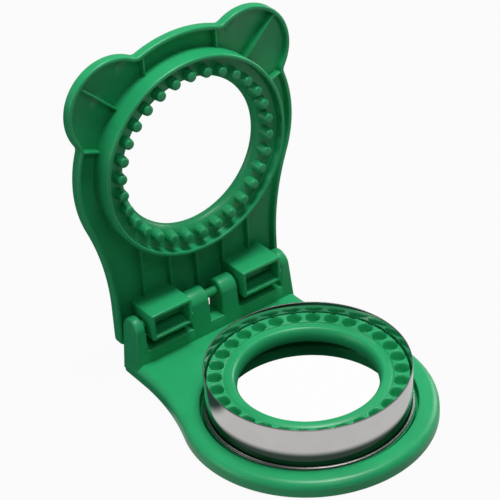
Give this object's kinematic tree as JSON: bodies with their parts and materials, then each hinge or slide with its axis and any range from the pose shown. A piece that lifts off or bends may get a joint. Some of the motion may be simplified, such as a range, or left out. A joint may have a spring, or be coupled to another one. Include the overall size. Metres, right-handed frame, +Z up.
{
  "type": "hand_pie_cutter",
  "caption": "Hand pie cutter: steel ring cutter on a green plastic base with crimping pockets, and a hinged lid with two ears whose teeth press the crust. Shown open.",
  "frame": {"origin": "centre of the bounding box's underside, with the lid open at rest", "axes": "+X along the hinge, +Y from the round cutting end towards the hinge and the upright lid, +Z up from the table; right-handed, metres"},
  "size_m": [0.1148, 0.1404, 0.1551],
  "materials": {
    "green_plastic": "moulded, satin gloss",
    "bright_steel": "mirror polished sheet"
  },
  "bodies": {
    "base_body": {"base": "green_plastic", "pocket_ring": "green_plastic", "cutter_ring": "bright_steel", "hinge_pin": "green_plastic"},
    "lid_body": {"lid": "green_plastic"}
  },
  "joints": [
    {"name": "lid_hinge", "type": "hinge", "parent": "base_body", "child": "lid_body", "pos_m": [0, 0.05905, 0.0239], "axis": [1, 0, 0], "range_deg": [0, 90]}
  ]
}
